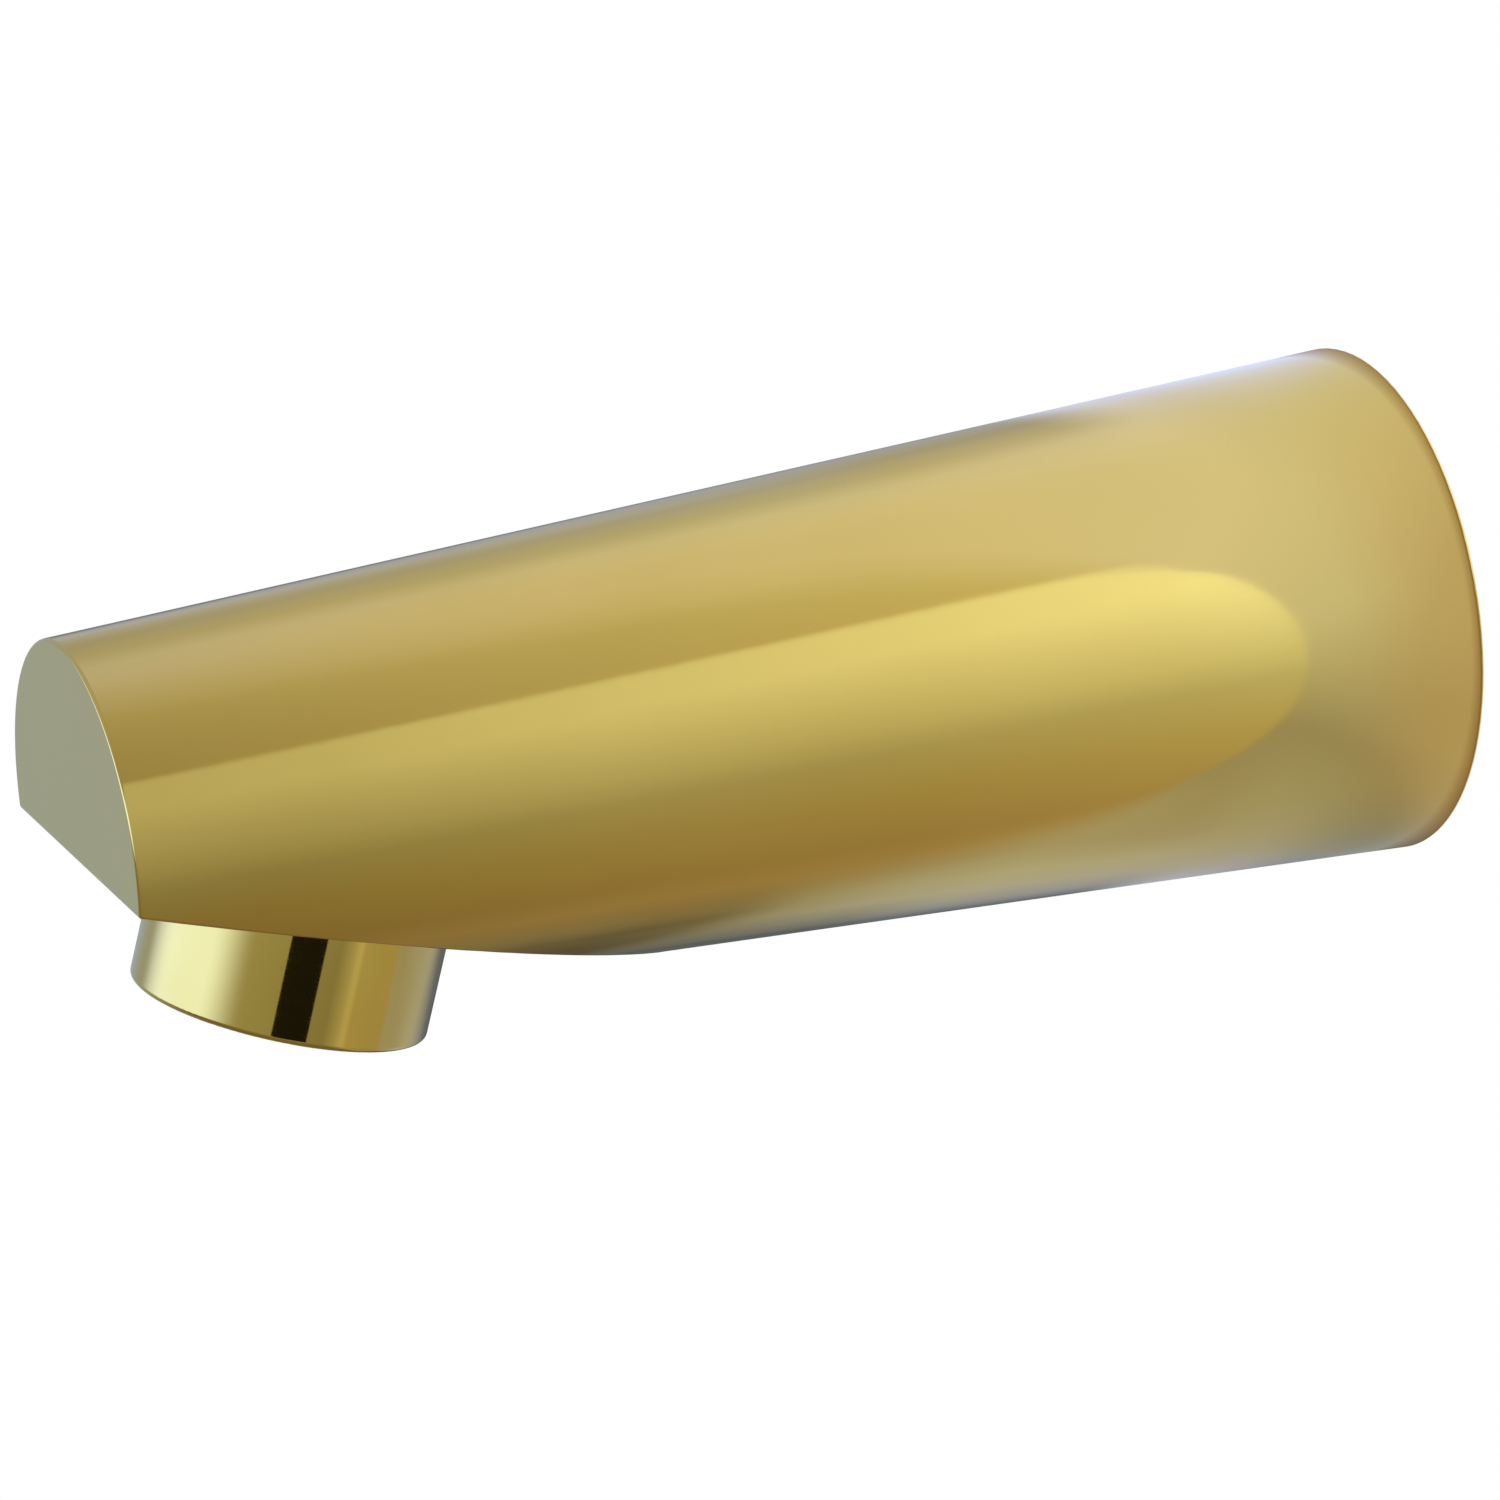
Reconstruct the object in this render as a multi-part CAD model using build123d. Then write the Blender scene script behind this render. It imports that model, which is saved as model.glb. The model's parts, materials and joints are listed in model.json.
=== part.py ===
from build123d import *
from math import atan, cos, hypot, radians, sin, tan
import os

# Bath spout: a tapered cast body with a screw-in inlet hub at the wall and a screw-in outlet under its nose.
# The body's hollow widens all the way to the wall end, so that its casting core draws out there.
# Sizes are in millimetres and angles in degrees.
# The wall face lies in the XZ plane, the spout reaches out along -Y, and +Z is up.

# Cast body
projection = 140.0  # wall face to nose face
base_diameter = 52.4  # at the wall
nose_diameter = 38.3  # at the nose
body_wall = 3.6
nose_wall = 3.5
core_round = 2.0  # inside corner at the nose
pad_wall = 4.0
pad_drop = 2.8  # pad below the axis, in the plane of the nose
pad_angle = 17.5  # fall of the pad towards the wall
edge_round = 0.4  # nose and pad edges
rim_round = 0.7  # outer edge at the wall

# Wall gasket, bedded in a rebate of the rim
rim_lip = 2.0  # metal outside the gasket
gasket_depth = 3.0
gasket_clearance = 0.1

# Inlet hub, turned from hexagon bar and screwed into the body up to a shoulder
hub_shoulder = 1.2  # width of the shoulder that it stops on
hub_clearance = 0.1
hub_disc = 8.0  # thickness of its threaded disc
hub_hexagon = 30.0  # across flats
hub_chamfer = 2.2  # turned corners at the mouth, across the hexagon
seal_section = 2.0
seal_side_room = 0.3

# Pipe thread in the hub, with its washer and throat
inlet_setback = 8.0  # wall face to the mouth of the thread
inlet_thread_diameter = 20.955
inlet_thread_length = 16.0
inlet_lead_in = 1.0  # chamfer at the mouth
inlet_seat = 4.0  # metal in front of the washer
inlet_washer_diameter = 18.4
inlet_washer_thickness = 2.0
inlet_washer_clearance = 0.1
inlet_throat_diameter = 12.0

# Outlet, a threaded socket square to the pad
outlet_setback = 23.7  # nose edge to the outlet axis, along the pad
outlet_thread_diameter = 28.0
outlet_thread_clearance = 0.1
outlet_boss_wall = 3.0
outlet_seat = 2.0  # metal above the sealing washer
outlet_seat_width = 3.0
outlet_washer_thickness = 2.0

# Outlet sleeve
sleeve_length = 11.9  # pad to the lip of the sleeve
sleeve_shoulder = 0.9  # how far the sleeve stands out past its thread
sleeve_neck = 5.0  # threaded length inside the socket
sleeve_neck_wall = 1.7
sleeve_lip_width = 1.1
sleeve_lip_thickness = 1.5
sleeve_round = 0.6  # lip's outer edge
sleeve_break = 0.25  # edge against the pad

# Moulded inserts, stacked in the sleeve
insert_clearance = 0.1
straightener_thickness = 5.0
straightener_rim = 0.9
cell_width = 2.5  # across flats
cell_web = 0.55
jet_height = 6.0
jet_plate = 2.0
jet_wall = 1.4
jet_hole_diameter = 1.5
jet_pitch = 3.0  # between rings of holes
strainer_plate = 1.0
strainer_wall = 1.2
mesh_hole_diameter = 1.3
mesh_web = 0.75

# Worked out from the sizes above
base_radius = base_diameter / 2
nose_radius = nose_diameter / 2
taper = (base_radius - nose_radius) / projection
cast_offset = body_wall / cos(atan(taper))

inlet_thread_radius = inlet_thread_diameter / 2
inlet_thread_end = inlet_setback + inlet_thread_length
inlet_washer_end = inlet_thread_end + inlet_washer_thickness
inlet_washer_radius = inlet_washer_diameter / 2
inlet_throat_radius = inlet_throat_diameter / 2
chamber_start = inlet_washer_end + inlet_seat
chamber_end = projection - nose_wall

hub_radius = base_radius - taper * chamber_start - cast_offset + hub_shoulder
hub_bore_radius = hub_radius + hub_clearance
hub_disc_start = chamber_start - hub_disc
seal_middle = chamber_start - hub_disc / 2
seal_radius = hub_radius - (seal_section - hub_clearance) / 2
gasket_outer_radius = base_radius - rim_lip

socket_radius = outlet_thread_diameter / 2
socket_depth = sleeve_neck + outlet_washer_thickness
outlet_boss_height = socket_depth + outlet_seat
outlet_throat_radius = socket_radius - outlet_seat_width
sleeve_radius = socket_radius + sleeve_shoulder
neck_radius = socket_radius - outlet_thread_clearance
sleeve_bore_radius = neck_radius - sleeve_neck_wall
lip_start = sleeve_length - sleeve_lip_thickness
insert_radius = sleeve_bore_radius - insert_clearance
straightener_start = lip_start - straightener_thickness
jet_start = straightener_start - jet_height
strainer_height = jet_start + sleeve_neck

# Along the spout from the wall face, with the seam of turned faces on top
spout_axis = Plane(origin=(0, 0, 0), x_dir=(0, 0, 1), z_dir=(0, -1, 0))

# Out of the outlet, from the pad
pad_slope = radians(pad_angle)
nose_edge = Vector(0, -projection, -pad_drop)
along_pad = Vector(0, cos(pad_slope), -sin(pad_slope))
outlet_axis = Plane(
    origin=nose_edge + along_pad * outlet_setback,
    x_dir=(1, 0, 0),
    z_dir=(0, -sin(pad_slope), -cos(pad_slope)),
)


def turned(outline):
    # a solid of revolution about Z, from points of radius and height
    section = make_face(Polyline(*outline, close=True))
    return revolve(Plane.XZ * section, Axis.Z)


def ring(outer_radius, inner_radius, start, end):
    return turned(
        [
            (inner_radius, start),
            (outer_radius, start),
            (outer_radius, end),
            (inner_radius, end),
        ]
    )


def disc(radius, start, end):
    return Pos(0, 0, start) * extrude(Circle(radius), end - start)


def outside_pad(inset):
    # everything past the pad, or past a plane set into the body from it
    size = 4 * projection
    block = Box(size, size, size, align=(Align.CENTER, Align.CENTER, Align.MIN))
    return outlet_axis * Pos(0, 0, -inset) * block


def cone_radius(distance):
    return base_radius - taper * distance


def outer_form():
    form = spout_axis * turned(
        [(0, 0), (base_radius, 0), (nose_radius, projection), (0, projection)]
    )
    form -= outside_pad(0)
    near = edge_round / 100
    on_nose = [e for e in form.edges() if abs((e @ 0.5).Y + projection) < near]
    on_pad = [e for e in form.edges() if abs(outlet_axis.to_local_coords(e @ 0.5).Z) < near]
    crisp = ShapeList(on_nose + [e for e in on_pad if abs((e @ 0.5).Y + projection) >= near])
    form = fillet(crisp, edge_round)
    rim = form.edges().filter_by(GeomType.CIRCLE).sort_by(Axis.Y)[-1]
    return fillet(rim, rim_round)


def hollow():
    # gasket rebate, bore for the hub, and the tapered water chamber
    start_radius = cone_radius(chamber_start) - cast_offset
    end_radius = cone_radius(chamber_end) - cast_offset
    core = turned(
        [
            (0, 0),
            (gasket_outer_radius, 0),
            (gasket_outer_radius, gasket_depth),
            (hub_bore_radius, gasket_depth),
            (hub_bore_radius, chamber_start),
            (start_radius, chamber_start),
            (end_radius, chamber_end),
            (0, chamber_end),
        ]
    )
    tip = core.edges().filter_by(GeomType.CIRCLE).sort_by(Axis.Z)[-1]
    core = spout_axis * fillet(tip, core_round)
    boss = disc(socket_radius + outlet_boss_wall, -outlet_boss_height, 0)
    return core - outside_pad(pad_wall) - outlet_axis * boss


def outlet_cut():
    throat_end = outlet_boss_height + outlet_seat
    return outlet_axis * turned(
        [
            (0, 0),
            (socket_radius, 0),
            (socket_radius, -socket_depth),
            (outlet_throat_radius, -socket_depth),
            (outlet_throat_radius, -throat_end),
            (0, -throat_end),
        ]
    )


def spout_body():
    return outer_form() - hollow() - outlet_cut()


def wall_gasket():
    outer = gasket_outer_radius - gasket_clearance
    return spout_axis * ring(outer, hub_bore_radius, 0, gasket_depth)


def inlet_hub():
    groove_radius = hub_radius - seal_section
    groove_start = seal_middle - seal_section / 2 - seal_side_room
    groove_end = seal_middle + seal_section / 2 + seal_side_room
    threaded_disc = turned(
        [
            (0, hub_disc_start),
            (hub_radius, hub_disc_start),
            (hub_radius, groove_start),
            (groove_radius, groove_start),
            (groove_radius, groove_end),
            (hub_radius, groove_end),
            (hub_radius, chamber_start),
            (0, chamber_start),
        ]
    )
    flat_radius = hub_hexagon / 2
    chamfer_end = inlet_setback + hub_chamfer * tan(radians(30))
    blank = turned(
        [
            (0, inlet_setback),
            (flat_radius, inlet_setback),
            (flat_radius + hub_chamfer, chamfer_end),
            (hub_hexagon, hub_disc_start),
            (0, hub_disc_start),
        ]
    )
    bar = extrude(RegularPolygon(flat_radius, 6, major_radius=False), hub_disc_start)
    washer_seat_radius = inlet_washer_radius + inlet_washer_clearance
    bore = turned(
        [
            (0, inlet_setback),
            (inlet_thread_radius + inlet_lead_in, inlet_setback),
            (inlet_thread_radius, inlet_setback + inlet_lead_in),
            (inlet_thread_radius, inlet_thread_end),
            (washer_seat_radius, inlet_thread_end),
            (washer_seat_radius, inlet_washer_end),
            (inlet_throat_radius, inlet_washer_end),
            (inlet_throat_radius, chamber_start),
            (0, chamber_start),
        ]
    )
    return spout_axis * (threaded_disc + (bar & blank) - bore)


def hub_seal():
    return spout_axis * Pos(0, 0, seal_middle) * Torus(seal_radius, seal_section / 2)


def inlet_washer():
    return spout_axis * ring(
        inlet_washer_radius, inlet_throat_radius, inlet_thread_end, inlet_washer_end
    )


def outlet_washer():
    outer = socket_radius - outlet_thread_clearance
    return outlet_axis * ring(outer, outlet_throat_radius, -socket_depth, -sleeve_neck)


def outlet_sleeve():
    lip_radius = sleeve_bore_radius - sleeve_lip_width
    sleeve = turned(
        [
            (sleeve_bore_radius, -sleeve_neck),
            (neck_radius, -sleeve_neck),
            (neck_radius, 0),
            (sleeve_radius - sleeve_break, 0),
            (sleeve_radius, sleeve_break),
            (sleeve_radius, sleeve_length),
            (lip_radius, sleeve_length),
            (lip_radius, lip_start),
            (sleeve_bore_radius, lip_start),
        ]
    )
    lip_edges = sleeve.edges().filter_by(GeomType.CIRCLE).group_by(Axis.Z)[-1]
    sleeve = fillet(lip_edges, sleeve_round)
    return outlet_axis * sleeve


def hexagonal_grid(pitch, reach):
    rows = int(reach / pitch) + 1
    points = []
    for row in range(-rows, rows + 1):
        for column in range(-2 * rows, 2 * rows + 1):
            x = pitch * (column + row / 2)
            y = pitch * row * cos(radians(30))
            if hypot(x, y) <= reach:
                points.append((x, y))
    return points


def flow_straightener():
    corner = cell_width / 2 / cos(radians(30))
    reach = insert_radius - straightener_rim - corner
    cell = RegularPolygon(cell_width / 2, 6, major_radius=False, rotation=30)
    cells = [Pos(x, y) * cell for x, y in hexagonal_grid(cell_width + cell_web, reach)]
    honeycomb = extrude(Circle(insert_radius) - cells, straightener_thickness)
    return outlet_axis * Pos(0, 0, straightener_start) * honeycomb


def perforated_cap(start, height, plate, wall, holes):
    # a plate drilled with holes, on a skirt that stands on the piece below
    cap = ring(insert_radius, insert_radius - wall, start, start + height)
    face = Circle(insert_radius) - holes
    return outlet_axis * (cap + Pos(0, 0, start) * extrude(face, plate))


def jet_disc():
    hole = Circle(jet_hole_diameter / 2)
    reach = insert_radius - jet_wall - jet_hole_diameter
    holes = []
    for circle in range(1, int(reach / jet_pitch) + 1):
        holes += [spot * hole for spot in PolarLocations(circle * jet_pitch, 6 * circle)]
    return perforated_cap(jet_start, jet_height, jet_plate, jet_wall, holes)


def strainer():
    hole = Circle(mesh_hole_diameter / 2)
    reach = insert_radius - strainer_wall - mesh_hole_diameter
    holes = [Pos(x, y) * hole for x, y in hexagonal_grid(mesh_hole_diameter + mesh_web, reach)]
    return perforated_cap(-sleeve_neck, strainer_height, strainer_plate, strainer_wall, holes)


os.makedirs("parts", exist_ok=True)
export_step(spout_body(), "parts/spout_body.step")
export_step(wall_gasket(), "parts/wall_gasket.step")
export_step(inlet_hub(), "parts/inlet_hub.step")
export_step(hub_seal(), "parts/hub_seal.step")
export_step(inlet_washer(), "parts/inlet_washer.step")
export_step(outlet_washer(), "parts/outlet_washer.step")
export_step(outlet_sleeve(), "parts/outlet_sleeve.step")
export_step(strainer(), "parts/strainer.step")
export_step(jet_disc(), "parts/jet_disc.step")
export_step(flow_straightener(), "parts/flow_straightener.step")
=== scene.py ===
import json
import math

import bmesh
import bpy
from mathutils import Matrix, Vector


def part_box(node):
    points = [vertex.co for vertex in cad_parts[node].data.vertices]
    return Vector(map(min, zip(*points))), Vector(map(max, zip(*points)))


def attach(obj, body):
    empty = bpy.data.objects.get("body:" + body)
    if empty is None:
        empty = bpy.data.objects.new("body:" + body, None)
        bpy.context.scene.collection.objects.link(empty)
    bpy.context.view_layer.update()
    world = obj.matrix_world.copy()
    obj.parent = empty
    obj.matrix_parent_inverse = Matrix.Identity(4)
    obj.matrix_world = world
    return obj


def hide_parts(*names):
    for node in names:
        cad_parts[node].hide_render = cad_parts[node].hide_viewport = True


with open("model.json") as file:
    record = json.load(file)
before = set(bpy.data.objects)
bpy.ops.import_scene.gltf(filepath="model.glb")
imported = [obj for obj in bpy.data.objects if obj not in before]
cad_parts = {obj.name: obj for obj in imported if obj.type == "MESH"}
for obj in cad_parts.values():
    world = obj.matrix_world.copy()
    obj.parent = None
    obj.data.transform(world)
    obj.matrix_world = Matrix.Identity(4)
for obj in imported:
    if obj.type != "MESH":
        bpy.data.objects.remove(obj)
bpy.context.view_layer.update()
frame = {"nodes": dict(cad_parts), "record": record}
nodes = frame["nodes"]
mounts = {mount["name"]: mount for mount in frame["record"]["mounts"]}
millimetre = 0.001  # for the sizes in the mounts
print("frame loaded:", len(nodes), "nodes")


# small helpers for node trees

mixSockets = {"RGBA": (6, 7, 2), "FLOAT": (2, 3, 0)}  # a Mix node's two inputs and its output
noiseBands = {"narrow": (0.35, 0.65), "wide": (0.3, 0.7)}  # where most of a noise texture's values lie


def addNode(tree, kind, inputs=None, **settings):
    node = tree.nodes.new(kind)
    for name, value in settings.items():
        setattr(node, name, value)
    for name, value in (inputs or {}).items():
        node.inputs[name].default_value = value
    return node


def wire(tree, source, output, target, socket):
    tree.links.new(source.outputs[output], target.inputs[socket])


def rgba(colour):
    return (*colour, 1.0)


def newMaterial(name):
    material = bpy.data.materials.new(name)
    material.use_nodes = True
    tree = material.node_tree
    return material, tree, tree.nodes["Principled BSDF"]


def objectCoords(tree, scale=(1, 1, 1), turn=(0, 0, 0)):
    # object coordinates, turned and then stretched
    coords = addNode(tree, "ShaderNodeTexCoord")
    place = addNode(tree, "ShaderNodeMapping", {"Rotation": turn})
    stretch = addNode(tree, "ShaderNodeMapping", {"Scale": scale})
    wire(tree, coords, "Object", place, "Vector")
    wire(tree, place, "Vector", stretch, "Vector")
    return stretch


def noiseOn(tree, coords, scale, detail=2.0, roughness=0.5):
    settings = {"Scale": scale, "Detail": detail, "Roughness": roughness}
    noise = addNode(tree, "ShaderNodeTexNoise", settings)
    wire(tree, coords, "Vector", noise, "Vector")
    return noise


def spread(tree, source, output, low, high, toLow, toHigh):
    # maps a band of values to a range
    limits = {"From Min": low, "From Max": high, "To Min": toLow, "To Max": toHigh}
    band = addNode(tree, "ShaderNodeMapRange", limits)
    wire(tree, source, output, band, "Value")
    return band


def blended(tree, share, output, first, second, kind="RGBA", way="MIX"):
    # first and second are plain colours or the outputs of other nodes
    mix = addNode(tree, "ShaderNodeMix", data_type=kind, blend_type=way)
    wire(tree, share, output, mix, "Factor")
    firstPlace, secondPlace, result = mixSockets[kind]
    for place, value in ((firstPlace, first), (secondPlace, second)):
        if isinstance(value, bpy.types.NodeSocket):
            tree.links.new(value, mix.inputs[place])
        else:
            mix.inputs[place].default_value = rgba(value)
    return mix.outputs[result]


def bumpFrom(tree, height, output, depth, under=None):
    bump = addNode(tree, "ShaderNodeBump", {"Strength": 1.0, "Distance": depth})
    wire(tree, height, output, bump, "Height")
    if under:
        wire(tree, under, "Normal", bump, "Normal")
    return bump


def dress(nodeName, material):
    for slot in nodes[nodeName].material_slots:
        slot.material = material


# mirror-bright pieces get a welded skin with the true normals of their turned and flat faces

spoutForm = {
    # the solid body's own sizes, in metres
    "wallRadius": 0.0262,
    "noseRadius": 0.01915,
    "reach": 0.140,
    "padDrop": 0.0028,  # the pad below the spout's axis, at the nose
    "edgeRound": 0.0004,  # nose and pad edges
    "rimRound": 0.0007,
}
skinMaking = {
    "weld": 1e-6,
    "sliver": 1e-7,  # triangles thinner than this are dissolved
    "closeness": 2e-6,  # how near to a face the corners of its own triangles lie
    "roundSteps": 3,  # to find the middle of a rounded edge
    "crease": 40.0,  # degrees between faces that keep an edge
}
spoutAxis = Vector((0, -1, 0))  # out of the wall
spoutSlope = (spoutForm["noseRadius"] - spoutForm["wallRadius"]) / spoutForm["reach"]
noseMiddle = spoutAxis * spoutForm["reach"]
outletAxis = Vector(mounts["outlet_collar"]["axis"])  # square to the pad
noseEdge = noseMiddle - Vector((0, 0, spoutForm["padDrop"]))


def flatFace(origin, way):
    def offAndNormal(point):
        return (point - origin).dot(way), way
    return offAndNormal


def turnedFace(origin, axis, radius, slope=0.0):
    # a cylinder, or a cone whose radius changes by the slope along its axis
    def offAndNormal(point):
        along = (point - origin).dot(axis)
        across = point - origin - axis * along
        off = (across.length - radius - slope * along) / math.hypot(1, slope)
        return off, (across.normalized() - axis * slope).normalized()
    return offAndNormal


def roundedEdge(first, second, roundSize):
    # the round where two faces meet, with its middle as deep under the one as under the other
    def offAndNormal(point):
        middle = point
        for step in range(skinMaking["roundSteps"]):
            (firstOff, firstWay), (secondOff, secondWay) = first(middle), second(middle)
            if min(firstOff, secondOff) < -2 * roundSize:
                return math.inf, firstWay  # too deep to lie on the round
            lean = firstWay.dot(secondWay)
            a, b = firstOff + roundSize, secondOff + roundSize
            shift = firstWay * (a - lean * b) + secondWay * (b - lean * a)
            middle = middle - shift / (1 - lean * lean)
        return (point - middle).length - roundSize, (point - middle).normalized()
    return offAndNormal


def faceUnder(corners, normal, faces):
    # the flat, turned or rounded face that a triangle lies on, if any
    near = skinMaking["closeness"]
    lying = [face for face in faces if all(abs(face(corner)[0]) < near for corner in corners)]
    return max(lying, key=lambda face: face(corners[0])[1].dot(normal), default=None)


def weldedMesh(nodeName, faces):
    # a merged copy of a node, with the triangles on each face turned to follow it closely
    welded = bmesh.new()
    welded.from_mesh(nodes[nodeName].data)
    bmesh.ops.remove_doubles(welded, verts=welded.verts, dist=skinMaking["weld"])
    bmesh.ops.dissolve_degenerate(welded, dist=skinMaking["sliver"], edges=welded.edges)
    patches = {face: set() for face in faces}
    for triangle in welded.faces:
        face = faceUnder([corner.co for corner in triangle.verts], triangle.normal, faces)
        if face:
            patches[face].add(triangle)
    for patch in patches.values():
        inner = [edge for edge in welded.edges if patch.issuperset(edge.link_faces)]
        bmesh.ops.beautify_fill(welded, faces=list(patch), edges=inner, method="ANGLE")
    mesh = bpy.data.meshes.new(nodeName + "_skin")
    welded.to_mesh(mesh)
    welded.free()
    return mesh


def cornerNormals(mesh, faces):
    # true normals on the given faces, and elsewhere means over edges softer than the crease
    crease = math.cos(math.radians(skinMaking["crease"]))
    points = [vertex.co for vertex in mesh.vertices]
    owners = []
    around = [[] for point in points]
    for triangle in mesh.polygons:
        corners = [points[corner] for corner in triangle.vertices]
        owners.append(faceUnder(corners, triangle.normal, faces))
        for corner in triangle.vertices:
            around[corner].append(triangle)
    normals = []
    for triangle in mesh.polygons:
        owner = owners[triangle.index]
        for corner in triangle.vertices:
            beside = [owner]
            if not owner:
                beside = [owners[other.index] for other in around[corner] if owners[other.index]]
            ways = [face(points[corner])[1] for face in beside]
            ways = [way for way in ways if way.dot(triangle.normal) > crease]
            if not ways:
                soft = [other for other in around[corner] if other.normal.dot(triangle.normal) > crease]
                ways = [other.normal * other.area for other in soft]
            normals.append(sum(ways, Vector()).normalized())
    return normals


def laySkin(nodeName, material, faces):
    mesh = weldedMesh(nodeName, faces)
    mesh.materials.clear()
    mesh.materials.append(material)
    mesh.shade_smooth()
    mesh.normals_split_custom_set(cornerNormals(mesh, faces))
    skin = bpy.data.objects.new(nodeName + "_skin", mesh)
    bpy.context.scene.collection.objects.link(skin)
    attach(skin, "root")
    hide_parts(nodeName)
    return skin


# the cast body: gold-coloured brass, buffed lengthwise and lacquered

bodyFinish = {
    "deepGold": (0.805, 0.605, 0.132),
    "lightGold": (0.845, 0.640, 0.152),
    "clouds": {"scale": 26.0, "detail": 2.0},  # slow drift of tone, per metre
    "buffStretch": (620.0, 9.0, 620.0),  # buffing lines run along the spout
    "buffing": {"scale": 1.0, "detail": 3.0, "roughness": 0.6},
    "buffDepth": 1.6e-6,  # metres
    "peel": {"scale": 420.0, "detail": 1.0},  # the lacquer's faint orange peel
    "peelDepth": 2.2e-6,
    "roughness": (0.06, 0.10),
    "coatIor": 1.5,
    "coatRoughness": 0.03,
}
castInside = {
    "deepBrass": (0.30, 0.205, 0.082),
    "lightBrass": (0.44, 0.315, 0.135),
    "grain": {"scale": 760.0, "detail": 4.0, "roughness": 0.6},  # sand grain of the casting
    "grainDepth": 6.0e-5,
    "roughness": (0.46, 0.62),
    # metal that still counts as outside: under the taper, the rim, the nose and the pad
    "skins": {"side": 0.0012, "rim": 0.0005, "nose": 0.0015, "pad": 0.0015},
    "blend": 0.0003,
}


def insideShare(tree):
    # 1 on the unpolished walls of the hollow, 0 on the finished outside
    skins, blend = castInside["skins"], castInside["blend"]
    place = objectCoords(tree)
    radius = addNode(tree, "ShaderNodeVectorMath", operation="LENGTH")
    wire(tree, objectCoords(tree, (1, 0, 1)), "Vector", radius, 0)
    along = addNode(tree, "ShaderNodeSeparateXYZ")
    wire(tree, place, "Vector", along, "Vector")
    cone = addNode(tree, "ShaderNodeMath", operation="MULTIPLY_ADD")  # outer radius at this depth
    cone.inputs[1].default_value = -spoutSlope
    cone.inputs[2].default_value = spoutForm["wallRadius"]
    wire(tree, along, "Y", cone, 0)
    under = addNode(tree, "ShaderNodeMath", operation="SUBTRACT")
    wire(tree, cone, "Value", under, 0)
    wire(tree, radius, "Value", under, 1)
    fall = addNode(tree, "ShaderNodeVectorMath", operation="DOT_PRODUCT")  # down to the pad
    fall.inputs[1].default_value = outletAxis
    wire(tree, place, "Vector", fall, 0)
    rim, pad = -skins["rim"], noseEdge.dot(outletAxis) - skins["pad"]
    nose = skins["nose"] - spoutForm["reach"]
    share = spread(tree, under, "Value", skins["side"], skins["side"] + blend, 0.0, 1.0)
    limits = (
        spread(tree, along, "Y", rim - blend, rim, 1.0, 0.0),
        spread(tree, along, "Y", nose, nose + blend, 0.0, 1.0),
        spread(tree, fall, "Value", pad - blend, pad, 1.0, 0.0),
    )
    for limit in limits:
        both = addNode(tree, "ShaderNodeMath", operation="MULTIPLY")
        tree.links.new(share.outputs[0], both.inputs[0])
        tree.links.new(limit.outputs[0], both.inputs[1])
        share = both
    return share


def lacqueredGold():
    finish, cast = bodyFinish, castInside
    material, tree, shader = newMaterial("lacquered_gold")
    plain = objectCoords(tree)
    inside = insideShare(tree)
    clouds = noiseOn(tree, plain, **finish["clouds"])
    tone = spread(tree, clouds, "Fac", *noiseBands["narrow"], 0.0, 1.0)
    gold = blended(tree, tone, "Result", finish["deepGold"], finish["lightGold"])
    grain = noiseOn(tree, plain, **cast["grain"])
    stain = spread(tree, grain, "Fac", *noiseBands["narrow"], 0.0, 1.0)
    brass = blended(tree, stain, "Result", cast["deepBrass"], cast["lightBrass"])
    colour = blended(tree, inside, "Value", gold, brass)
    tree.links.new(colour, shader.inputs["Base Color"])
    lines = noiseOn(tree, objectCoords(tree, finish["buffStretch"]), **finish["buffing"])
    smooth = spread(tree, lines, "Fac", *noiseBands["wide"], *finish["roughness"])
    dull = spread(tree, grain, "Fac", *noiseBands["wide"], *cast["roughness"])
    rough = blended(tree, inside, "Value", smooth.outputs["Result"], dull.outputs["Result"], "FLOAT")
    tree.links.new(rough, shader.inputs["Roughness"])
    peel = noiseOn(tree, plain, **finish["peel"])
    buffed = bumpFrom(tree, lines, "Fac", finish["buffDepth"])
    polished = bumpFrom(tree, peel, "Fac", finish["peelDepth"], buffed)
    sand = addNode(tree, "ShaderNodeMath", operation="MULTIPLY")
    wire(tree, grain, "Fac", sand, 0)
    wire(tree, inside, "Value", sand, 1)
    surface = bumpFrom(tree, sand, "Value", cast["grainDepth"], polished)
    wire(tree, surface, "Normal", shader, "Normal")
    lacquer = addNode(tree, "ShaderNodeMath", operation="SUBTRACT")  # none on the inside
    lacquer.inputs[0].default_value = 1.0
    wire(tree, inside, "Value", lacquer, 1)
    wire(tree, lacquer, "Value", shader, "Coat Weight")
    shader.inputs["Metallic"].default_value = 1.0
    shader.inputs["Coat IOR"].default_value = finish["coatIor"]
    shader.inputs["Coat Roughness"].default_value = finish["coatRoughness"]
    return material


def bodyFaces():
    side = turnedFace(Vector(), spoutAxis, spoutForm["wallRadius"], spoutSlope)
    wall = flatFace(Vector(), -spoutAxis)
    nose = flatFace(noseMiddle, spoutAxis)
    pad = flatFace(noseEdge, outletAxis)
    rounds = [roundedEdge(side, wall, spoutForm["rimRound"])]
    for first, second in ((side, nose), (side, pad), (nose, pad)):
        rounds.append(roundedEdge(first, second, spoutForm["edgeRound"]))
    return [side, wall, nose, pad, *rounds]


laySkin("spout_body", lacqueredGold(), bodyFaces())
print("body finished")


# the outlet sleeve: turned, polished brighter than the body

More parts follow.
